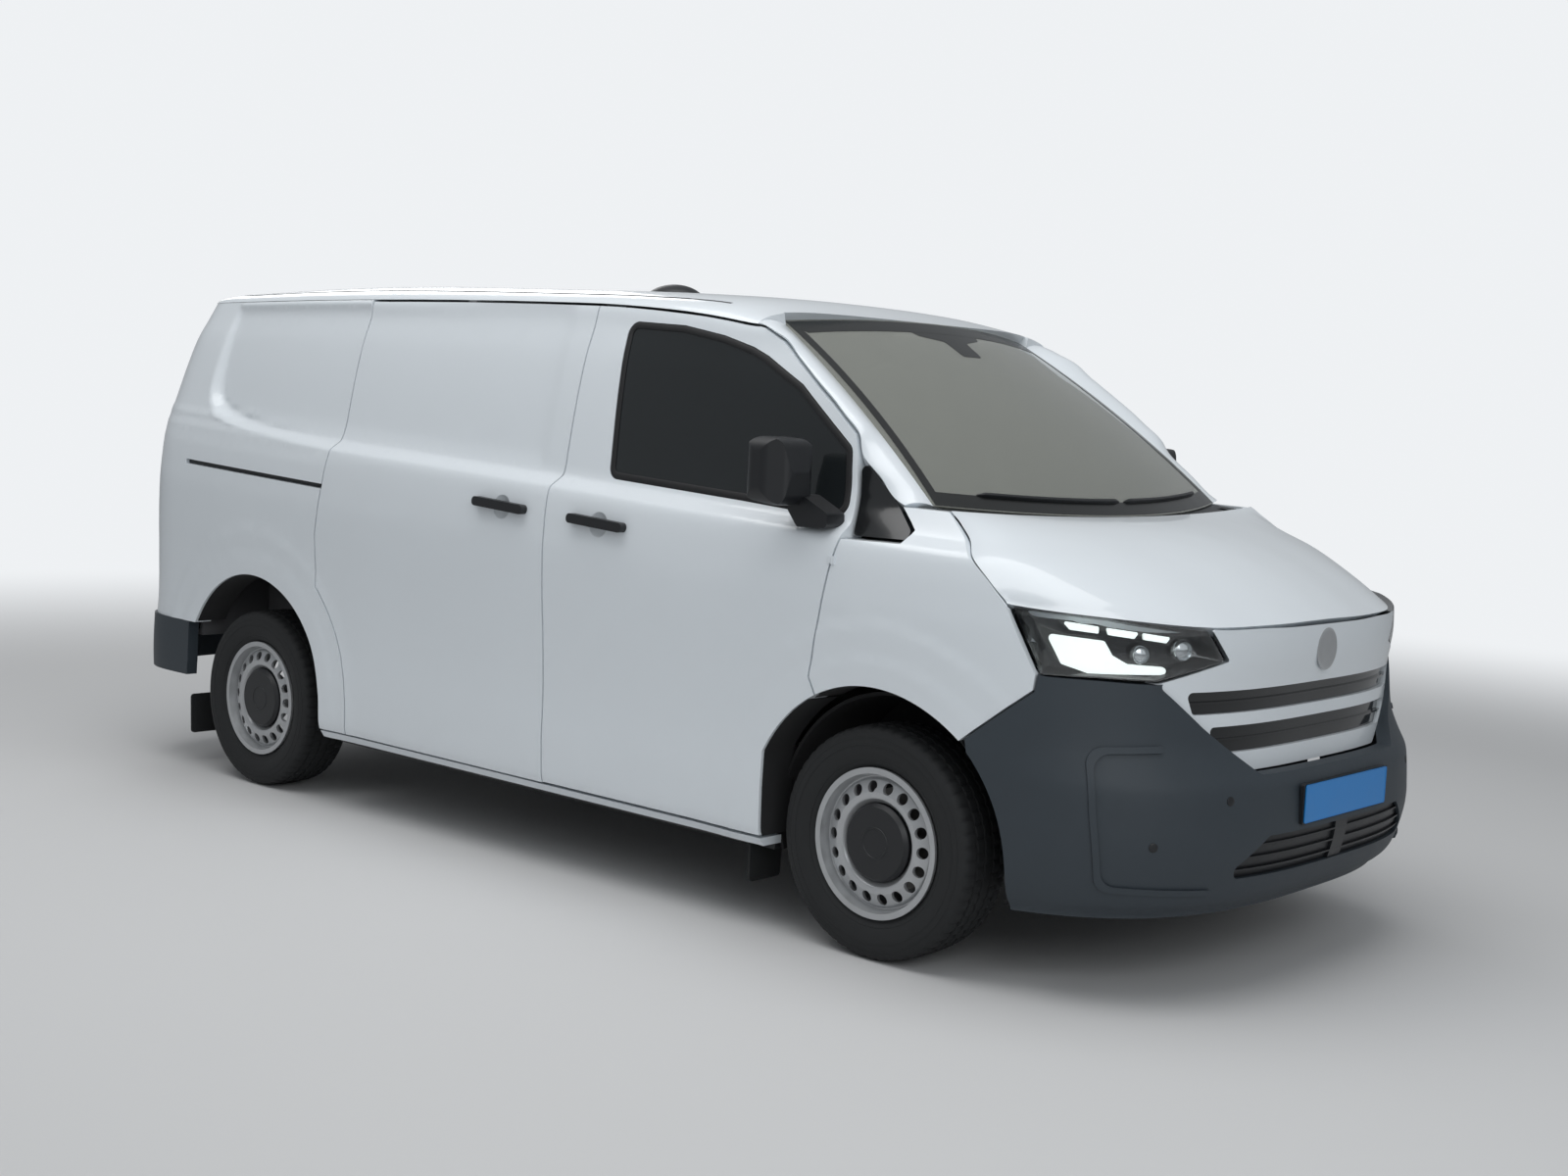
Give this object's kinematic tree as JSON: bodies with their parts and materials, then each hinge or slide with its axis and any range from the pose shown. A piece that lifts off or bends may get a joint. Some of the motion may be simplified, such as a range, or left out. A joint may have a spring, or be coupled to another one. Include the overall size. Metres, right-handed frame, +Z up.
{
  "type": "panel van",
  "caption": "Short-nosed panel van with hinged cab doors, sliding side door, top-hinged tailgate, hood, steered front wheels and a hollow cab and load space",
  "frame": {"origin": "on the ground under the middle of the van's bounding box", "axes": "+X forward, +Y to the van's left, +Z up"},
  "size_m": [5.0501, 2.275, 2.02],
  "materials": {
    "body_paint": "white gloss paint",
    "clear_glass": "clear, slightly green",
    "dark_glass": "tinted dark",
    "black_trim": "fine grain, unpainted",
    "red_lens": "clear red lens",
    "lamp_lens": "clear lens over a dark housing",
    "cabin_trim": "soft grain",
    "seat_cover": "dark woven cloth",
    "floor_metal": "grey floor paint",
    "chassis_metal": "black underbody coat",
    "drive_metal": "as cast",
    "wheel_metal": "silver wheel lacquer",
    "tyre_rubber": "black rubber"
  },
  "bodies": {
    "shell": {"bulkhead": "cabin_trim", "cowl": "black_trim", "dashboard": "cabin_trim", "driver_seat": "seat_cover", "engine_block": "drive_metal", "fender_left": "body_paint", "fender_right": "body_paint", "firewall": "chassis_metal", "floor_pan": "floor_metal", "front_bumper": "body_paint", "grille_panel": "body_paint", "grille_slats": "black_trim", "handle_slide": "black_trim", "headlamp_left": "lamp_lens", "headlamp_right": "lamp_lens", "lower_grille": "black_trim", "passenger_bench": "seat_cover", "pillar_left": "body_paint", "pillar_right": "body_paint", "quarter_right": "body_paint", "rear_axle": "chassis_metal", "rear_bumper": "black_trim", "roof_dome": "black_trim", "roof_panel": "body_paint", "sail_panel_left": "black_trim", "sail_panel_right": "black_trim", "side_panel_left": "body_paint", "sill_left": "body_paint", "sill_right": "body_paint", "sliding_door": "body_paint", "tail_lamp_left": "red_lens", "tail_lamp_right": "red_lens", "underframe": "chassis_metal", "windscreen": "clear_glass"},
    "left_door": {"door_left": "body_paint", "door_glass_left": "dark_glass", "mirror_left": "black_trim", "handle_left": "black_trim"},
    "right_door": {"door_right": "body_paint", "door_glass_right": "dark_glass", "mirror_right": "black_trim", "handle_right": "black_trim"},
    "rear_gate": {"tailgate": "body_paint", "tailgate_glass": "dark_glass"},
    "front_hood": {"hood": "body_paint"},
    "steer_wheel": {"steering_wheel": "cabin_trim"},
    "left_knuckle": {"knuckle_left": "drive_metal"},
    "right_knuckle": {"knuckle_right": "drive_metal"},
    "wheel_fl": {"rim_front_left": "wheel_metal", "tyre_front_left": "tyre_rubber", "hub_cap_front_left": "black_trim"},
    "wheel_fr": {"rim_front_right": "wheel_metal", "tyre_front_right": "tyre_rubber", "hub_cap_front_right": "black_trim"},
    "wheel_rl": {"rim_rear_left": "wheel_metal", "tyre_rear_left": "tyre_rubber", "hub_cap_rear_left": "black_trim"},
    "wheel_rr": {"rim_rear_right": "wheel_metal", "tyre_rear_right": "tyre_rubber", "hub_cap_rear_right": "black_trim"}
  },
  "joints": [
    {"name": "left_door_hinge", "type": "hinge", "parent": "shell", "child": "left_door", "pos_m": [1.374, 1.008, 0.9], "axis": [0, 0, -1], "range_deg": [0, 68]},
    {"name": "right_door_hinge", "type": "hinge", "parent": "shell", "child": "right_door", "pos_m": [1.374, -1.008, 0.9], "axis": [0, 0, 1], "range_deg": [0, 68]},
    {"name": "tailgate_hinge", "type": "hinge", "parent": "shell", "child": "rear_gate", "pos_m": [-2.25, 0, 1.93], "axis": [0, 1, 0], "range_deg": [0, 86]},
    {"name": "hood_hinge", "type": "hinge", "parent": "shell", "child": "front_hood", "pos_m": [1.66, 0, 1.285], "axis": [0, -1, 0], "range_deg": [0, 58]},
    {"name": "steering_turn", "type": "hinge", "parent": "shell", "child": "steer_wheel", "pos_m": [0.985, 0.42, 1.105], "axis": [-0.8211, 0, 0.5708], "range_deg": [-540, 540]},
    {"name": "steer_left", "type": "hinge", "parent": "shell", "child": "left_knuckle", "pos_m": [1.549, 0.82, 0.343], "axis": [0, 0, 1], "range_deg": [-36, 36]},
    {"name": "steer_right", "type": "hinge", "parent": "shell", "child": "right_knuckle", "pos_m": [1.549, -0.82, 0.343], "axis": [0, 0, 1], "range_deg": [-36, 36]},
    {"name": "wheel_front_left", "type": "hinge", "parent": "left_knuckle", "child": "wheel_fl", "pos_m": [1.549, 0.87, 0.343], "axis": [0, 1, 0], "continuous": true},
    {"name": "wheel_front_right", "type": "hinge", "parent": "right_knuckle", "child": "wheel_fr", "pos_m": [1.549, -0.87, 0.343], "axis": [0, 1, 0], "continuous": true},
    {"name": "wheel_rear_left", "type": "hinge", "parent": "shell", "child": "wheel_rl", "pos_m": [-1.551, 0.87, 0.343], "axis": [0, 1, 0], "continuous": true},
    {"name": "wheel_rear_right", "type": "hinge", "parent": "shell", "child": "wheel_rr", "pos_m": [-1.551, -0.87, 0.343], "axis": [0, 1, 0], "continuous": true}
  ],
  "couplings": [
    {"joint": "steering_turn", "follows": "steer_left", "ratio": 15},
    {"joint": "steer_right", "follows": "steer_left", "ratio": 1}
  ]
}
